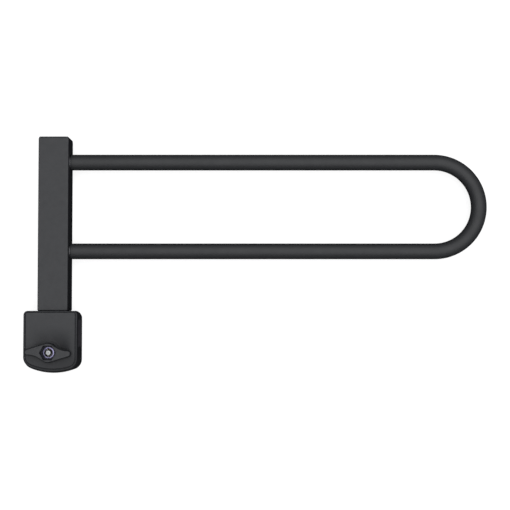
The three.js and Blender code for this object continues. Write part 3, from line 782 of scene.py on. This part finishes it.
def grip_cutter(side):
    """The recess for a grip pad, in one side of the head."""
    low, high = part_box("grip_right" if side > 0 else "grip_left")
    gap = 0.25 * MM
    middle_y, middle_z = (low.y + high.y) / 2, (low.z + high.z) / 2
    half_y, half_z = (high.y - low.y) / 2 + gap, (high.z - low.z) / 2 + gap
    inner = low.x - 0.3 * MM if side > 0 else high.x + 0.3 * MM
    outer = inner + side * 6 * MM
    outline = rounded_rectangle(half_y / MM, half_z / MM, 3.2, 8)

    def place(u, v, w):
        return Vector((w, middle_y + u * MM, middle_z + v * MM))

    return prism("grip_recess", outline, place, inner, outer)


def tube_cutter():
    """Room for the steel tube through the head's top wall."""
    low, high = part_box("crossbar_tube")
    gap = 0.3 * MM
    return block(
        "tube_passage",
        Vector((low.x - gap, FRONT_HIGH.y - 8 * MM, low.z - gap)),
        Vector((high.x + gap, FRONT_HIGH.y + 2 * MM, high.z + gap)),
    )


def head_front():
    """The front shell: rounded rim, fine crease, scooped face and the spindle's hole."""
    rim = FRONT_LOW.z / MM
    face = FRONT_HIGH.z / MM
    ceiling = face - 3

    def skin_height(x, y):
        return face - scoop(x, y)

    def under(x, y):
        return min(ceiling, skin_height(x, y) - 1.6)

    rings = [flat_ring(HEAD_WALL, rim), flat_ring(0.25, rim), flat_ring(0.02, rim + 0.2)]
    rings += [flat_ring(0, rim + (DRAFT_FROM - rim) * i / 4) for i in range(1, 5)]
    for share in (0.25, 0.5, 0.75):
        z = DRAFT_FROM + (face - FRONT_EDGE - DRAFT_FROM) * share
        rings.append(flat_ring(0, z, lift=SOLE_DRAFT * share))
    rings += shell_edge(face, FRONT_EDGE, TOP_CORNER, SOLE_DRAFT)
    lift = SOLE_DRAFT + SOLE_SPREAD * FACE_START
    start = head_outline(FACE_START, lift=lift, give=TOP_GIVE * FACE_START)
    steps = 40
    for i in range(steps + 1):
        share = (i / steps) ** 1.1
        rings.append(blended(start, SPINDLE_HOLE + 0.4, share, skin_height))
    for away, drop in ((0.1, 0.1), (0, 0.4)):
        rings.append(blended(start, SPINDLE_HOLE + away, 1, skin_height, drop))
    inner = head_outline(HEAD_WALL)
    for i in range(13):
        rings.append(blended(inner, SPINDLE_HOLE, 1 - i / 12, under))
    shell = skin("front_shell", rings, tube_closed=True)
    combine(shell, [tube_cutter(), grip_cutter(1), grip_cutter(-1)])
    # Painted shade: each point's amount of darker colour, which paints the shade round the knob, and of matt
    # roughness.
    painted_shade_matt = shell.data.attributes.new("painted_shade_matt", "FLOAT", "POINT")
    for vertex in shell.data.vertices:
        painted_shade_matt.data[vertex.index].value = painted_shade_matt_amount(vertex.co.x / MM, vertex.co.y / MM)
    painted_shade_matt_finish = cover_plastic("black_nylon_painted_shade_matt", (PAINTED_SHADE_COLOUR, MATT_ROUGHNESS))
    return settle(shell, "frame", "cover_plastic", "head_front", finish=painted_shade_matt_finish)


def head_rear():
    """The rear shell: flat back with a fine crease, and a counterbore for each screw. Its
    upper corners grow rounder towards the back."""
    rim = REAR_HIGH.z / MM
    floor = 1.7

    def corner(z):
        return BACK_CORNER + (TOP_CORNER - BACK_CORNER) * z / rim

    rings = [flat_ring(HEAD_WALL, floor + 0.02, BACK_CORNER), flat_ring(HEAD_WALL, rim)]
    rings += [flat_ring(0.25, rim), flat_ring(0.02, rim - 0.2)]
    for i in range(5, 0, -1):
        z = BACK_EDGE + (rim - BACK_EDGE) * i / 6
        rings.append(flat_ring(0, z, corner(z)))
    rings += shell_edge(0, -BACK_EDGE, BACK_CORNER)
    shell = skin("rear_shell", rings)
    cutters = [tube_cutter(), grip_cutter(1), grip_cutter(-1)]
    bosses = []
    boss = [(0, 1), (4.2, 1), (4.2, 18), (0, 18)]
    bore = [(0, -1), (3.5, -1), (3.1, 0.25), (3.1, 2.9), (1.8, 2.9), (1.8, 25), (0, 25)]
    for index in range(1, HEAD_SCREWS + 1):
        centre = axis_of(f"head_screw_{index}")
        bosses.append(turned("boss", boss, centre, Z, 48))
        cutters.append(turned("counterbore", bore, centre, Z, 48))
    combine(shell, bosses, "UNION")
    combine(shell, cutters)
    return settle(shell, "frame", "cover_plastic", "head_rear")


def grip(side, node_name):
    """A soft pad in the head's side, with a softly rounded edge."""
    low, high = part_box(node_name)
    middle_y, middle_z = (low.y + high.y) / 2 / MM, (low.z + high.z) / 2 / MM
    half_y, half_z = (high.y - low.y) / 2 / MM, (high.z - low.z) / 2 / MM
    inner = (low.x if side > 0 else high.x) / MM
    thick = (high.x - low.x) / MM
    rings = []
    for inset, share in ((0.25, 0), (0, 0.2), (0, 0.6), (0.08, 0.85), (0.28, 1), (4, 1), (9, 1)):
        outline = rounded_rectangle(half_y - inset, half_z - inset, max(2.9 - inset, 0.5), 6)
        x = inner + side * thick * share
        rings.append([Vector((x, middle_y + u, middle_z + v)) * MM for u, v in outline])
    pad = skin("pad_" + node_name, rings)
    return settle(pad, "frame", "soft_grip", node_name)


def back_screw(index):
    """A domed socket screw in its counterbore."""
    low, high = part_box(f"head_screw_{index}")
    centre = axis_of(f"head_screw_{index}")
    base = low.z / MM
    profile = [(0, base), (1.9, base), (2.35, base + 0.2), (2.7, base + 0.65), (2.8, base + 1.3)]
    tip = high.z / MM
    profile += [(2.8, base + 1.85), (1.5, base + 1.9), (1.5, tip - 0.6), (1.1, tip), (0, tip)]
    screw = turned(f"socket_screw_{index}", profile, centre, Z, 48)
    hexagon = arc(0, 0, 1.35, 0, 360, 6)

    def place(u, v, w):
        return centre + Vector((u, v, w)) * MM

    combine(screw, [prism("socket", hexagon, place, base - 1, base + 1.2)])
    return settle(screw, "frame", "spring_steel", f"head_screw_{index}")


# ---- Knob and cylinder ----

HUB, TIP, TIP_Y = 11.2, 3.9, -0.9  # the hub's and the wing tips' radius, and a tip's height
REACH = (KNOB_HIGH.x - KNOB_LOW.x) / 2 / MM
LEAVE = 65  # the angle at which the wing's curve leaves the hub
HUB_HANDLE, WING_HANDLE = (8.6, 7.2), 14.5
WINDOW = 16.3


def bezier(p0, p1, p2, p3, steps):
    """Points on a cubic curve, without its last one."""
    points = []
    for i in range(steps):
        t = i / steps
        a, b, c, d = (1 - t) ** 3, 3 * t * (1 - t) ** 2, 3 * t * t * (1 - t), t**3
        points.append(tuple(a * w + b * x + c * y + d * z for w, x, y, z in zip(p0, p1, p2, p3)))
    return points


def knob_outline():
    """Hub, ogee, wing tip and straight edge, then the same again turned by 180 degrees."""
    tip_x = REACH - TIP
    towards = math.degrees(math.atan2(TIP_Y, tip_x))
    tangent = towards - math.degrees(math.acos((HUB - TIP) / math.hypot(tip_x, TIP_Y)))
    start = (HUB * math.cos(math.radians(LEAVE)), HUB * math.sin(math.radians(LEAVE)))
    tip_top = TIP_Y + TIP
    half = bezier(start, HUB_HANDLE, (WING_HANDLE, tip_top), (tip_x, tip_top), 44)
    half += arc(tip_x, TIP_Y, TIP, 90, tangent, 26)
    straight = 44
    from_point = arc(tip_x, TIP_Y, TIP, tangent, tangent, 1)[0]
    to_point = arc(0, 0, HUB, tangent, tangent, 1)[0]
    for i in range(straight):
        share = i / straight
        half.append(tuple(a + (b - a) * share for a, b in zip(from_point, to_point)))
    half += arc(0, 0, HUB, tangent, LEAVE - 180, 20)
    return half + [(-x, -y) for x, y in half]


def drawn_in(outline, distance):
    """The clockwise outline moved inwards along its normals."""
    moved = []
    count = len(outline)
    for i, (x, y) in enumerate(outline):
        ax, ay = outline[i - 1]
        bx, by = outline[(i + 1) % count]
        tx, ty = bx - ax, by - ay
        length = math.hypot(tx, ty)
        moved.append((x + ty / length * distance, y - tx / length * distance))
    return moved


def window_ring(outline, flats, z):
    """A hexagon round the key's axis, each point in line with one of the outline's."""
    angles = [math.atan2(y, x) for x, y in outline]
    nearest = {}
    for k in range(6):
        off = [abs(math.remainder(angle - k * math.pi / 3, 2 * math.pi)) for angle in angles]
        nearest[off.index(min(off))] = k
    ring = []
    for i, angle in enumerate(angles):
        if i in nearest:
            angle = nearest[i] * math.pi / 3
        radius = flats / 2 / math.cos(angle % (math.pi / 3) - math.pi / 6)
        x, y = radius * math.cos(angle), radius * math.sin(angle)
        ring.append(Vector((KEY_X + x, KEY_Y + y, z)) * MM)
    return ring


def knob_ring(outline, z):
    """An outline round the key's axis as a level ring."""
    return [Vector((KEY_X + x, KEY_Y + y, z)) * MM for x, y in outline]


def turn_knob():
    """The winged knob, with a softly rounded top edge and a hexagonal window."""
    back, front = KNOB_LOW.z / MM, KNOB_HIGH.z / MM
    outline = knob_outline()
    edge, fall, draft = 1.3, 5.2, 0.1
    rings = [knob_ring(drawn_in(outline, 0.3), back), knob_ring(outline, back + 0.3)]
    for i in range(13):
        angle = math.radians(7.5 * i)
        inset = draft + edge * (1 - math.cos(angle))
        rings.append(knob_ring(drawn_in(outline, inset), front - fall * (1 - math.sin(angle))))
    top = drawn_in(outline, draft + edge)
    inner = window_ring(outline, WINDOW + 0.5, front)
    for share in (0.35, 0.7, 1):
        ring = []
        for (x, y), q in zip(top, inner):
            p = Vector((KEY_X + x, KEY_Y + y, front)) * MM
            ring.append(p.lerp(q, share))
        rings.append(ring)
    for flats, drop in ((WINDOW + 0.15, 0.08), (WINDOW, 0.3)):
        rings.append(window_ring(outline, flats, front - drop))
    rings.append(window_ring(outline, WINDOW, back))
    knob = skin("winged_knob", rings, tube_closed=True)
    return settle(knob, "knob", "cover_plastic", "turn_knob")


def cylinder_ring():
    """The cylinder's barrel: its polished mouth shows as a ring round the keyway."""
    low, high = CYLINDER_LOW.z / MM, CYLINDER_HIGH.z / MM
    web, shoulder = 29.3, 30.3
    body, lip, bore, mouth = 8.2, 6.5, 6.4, 4.9
    profile = [(bore, low), (body, low), (body, shoulder), (lip, shoulder), (lip, high - 0.75)]
    profile += [(lip - 0.05, high - 0.3), (lip - 0.2, high - 0.16), (mouth + 0.4, high - 0.03)]
    profile += [(mouth + 0.25, high), (mouth + 0.1, high - 0.05), (mouth, high - 0.25)]
    profile += [(mouth, web), (bore, web)]
    ring = turned("cylinder_barrel", profile, Vector((KEY.x, KEY.y, 0)), Z, 128, closed=True)
    notch = block(
        "key_notch",
        Vector((KEY.x - 0.7 * MM, KEY.y + (mouth - 0.6) * MM, (shoulder + 2) * MM)),
        Vector((KEY.x + 0.7 * MM, KEY.y + (mouth + 0.9) * MM, (high + 1) * MM)),
    )
    return settle(combine(ring, [notch]), "knob", "violet_steel", "cylinder_shell")


def key_plug():
    """The plug: a bright post in the keyway, over the disc that carries the pins."""
    axis = Vector((KEY.x, KEY.y, 0))
    low, high = PLUG_LOW.z / MM, PLUG_HIGH.z / MM
    disc_low, disc_high = 25.3, 29.0
    disc, post, tail = 6.1, 2.75, 2.2
    profile = [(0, low), (tail - 0.2, low), (tail, low + 0.3), (tail, disc_low)]
    profile += [(disc, disc_low), (disc, disc_high - 0.2), (disc - 0.2, disc_high)]
    profile += [(post, disc_high - 0.8), (post, high - 0.5)]
    profile += [(post - 0.08, high - 0.2), (post - 0.25, high - 0.05), (post - 0.5, high)]
    profile += [(0.9, high - 0.05), (0.7, high - 0.2), (0.6, high - 0.7), (0, high - 0.8)]
    plug = turned("plug_post", profile, axis, Z, 96)
    bore = 0.95
    hole = [(0, disc_low - 1.3), (bore, disc_low - 1.3), (bore, disc_high + 1), (0, disc_high + 1)]
    cutters = []
    for index in range(1, PIN_STACKS + 1):
        cutters.append(turned("bore", hole, axis_of(f"key_pin_{index}"), Z, 24))
    return settle(combine(plug, cutters), "plug", "nickel", "key_plug")


def pin(name, body, node_name, domed):
    """A turned brass pin with softened ends; a key pin's top is domed."""
    low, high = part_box(node_name)
    radius, base, top = 0.7, low.z / MM, high.z / MM
    profile = [(0, base), (radius - 0.15, base), (radius, base + 0.15)]
    if domed:
        profile += [(radius, top - 0.4), (radius * 0.85, top - 0.18), (radius * 0.5, top - 0.03)]
    else:
        profile += [(radius, top - 0.15), (radius - 0.15, top)]
    profile += [(0, top)]
    return settle(turned(name, profile, axis_of(node_name), Z, 24), body, "brass", node_name)


# ---- Stage ----

def floor():
    """A pale floor that glows a little, so that it stays plain white round the lock."""
    size, gap = 12, 0.2 * MM
    corners = [(-size, -size), (size, -size), (size, size), (-size, size)]
    mesh = bpy.data.meshes.new("floor")
    mesh.from_pydata([(x, y, BAR_LOW.z - gap) for x, y in corners], [], [(0, 1, 2, 3)])
    ground = bpy.data.objects.new("floor", mesh)
    bpy.context.scene.collection.objects.link(ground)
    material = bpy.data.materials.new("pale_floor")
    material.use_nodes = True
    shader = material.node_tree.nodes["Principled BSDF"]
    shader.inputs["Base Color"].default_value = (0.35, 0.35, 0.35, 1)
    shader.inputs["Roughness"].default_value = 0.9
    shader.inputs["Specular IOR Level"].default_value = 0.1
    shader.inputs["Emission Color"].default_value = (1, 1, 1, 1)
    shader.inputs["Emission Strength"].default_value = 0.8
    mesh.materials.append(material)
    ground.visible_glossy = False
    ground.visible_diffuse = False


def softbox(name, place, target, width, height, watts):
    """A rectangular light at place, turned to the target and unseen by the camera."""
    light = bpy.data.lights.new(name, "AREA")
    light.shape = "RECTANGLE"
    light.size = width
    light.size_y = height
    light.energy = watts
    lamp = bpy.data.objects.new(name, light)
    lamp.location = place
    lamp.rotation_mode = "QUATERNION"
    lamp.rotation_quaternion = (place - target).to_track_quat("Z", "Y")
    lamp.visible_camera = False
    bpy.context.scene.collection.objects.link(lamp)


def lights():
    """One large softbox over the lock, and plain colours in the picture."""
    middle = (cad_box[0] + cad_box[1]) / 2
    softbox("overhead", middle + Vector((0.2, 0.15, 1.7)), middle, 3.4, 3.0, 53.5)
    bpy.context.scene.view_settings.view_transform = "Standard"


def room():
    """A dim, even glow from above the horizon, fading to black below it."""
    world = bpy.data.worlds.new("studio")
    world.use_nodes = True
    tree = world.node_tree
    back = tree.nodes["Background"]
    back.inputs["Color"].default_value = (0.93, 0.95, 1, 1)
    direction = node(tree, "ShaderNodeTexCoord", -800, 0)
    parts = node(tree, "ShaderNodeSeparateXYZ", -600, 0)
    tree.links.new(direction.outputs["Generated"], parts.inputs[0])
    glow = ranged(tree, parts.outputs["Z"], 0, 0.22, -400, 0, -0.5, 0)
    tree.links.new(glow, back.inputs["Strength"])
    bpy.context.scene.world = world


def camera():
    """Almost straight above the lock, tipped a little from the head's side."""
    tilt = math.radians(2.46)
    distance = 1.4111
    lens = 87.04
    target = Vector((0.22852, -0.05516, ROD_Z))
    back = Vector((0, -math.sin(tilt), math.cos(tilt)))
    data = bpy.data.cameras.new("camera")
    data.sensor_width = 36
    data.lens = lens
    data.clip_start = 0.05
    eye = bpy.data.objects.new("camera", data)
    eye.rotation_mode = "QUATERNION"
    eye.location = target + back * distance
    eye.rotation_quaternion = back.to_track_quat("Z", "Y")
    bpy.context.scene.collection.objects.link(eye)
    bpy.context.scene.camera = eye


camera()
floor()
lights()
room()
finish_cad_nodes()
shackle_coating()
shackle_rod()
crossbar_cover()
head_front()
head_rear()
grip(1, "grip_right")
grip(-1, "grip_left")
for number in range(1, HEAD_SCREWS + 1):
    back_screw(number)
turn_knob()
cylinder_ring()
key_plug()
for number in range(1, PIN_STACKS + 1):
    pin(f"stepped_key_pin_{number}", "plug", f"key_pin_{number}", True)
    pin(f"stepped_driver_pin_{number}", "knob", f"driver_pin_{number}", False)
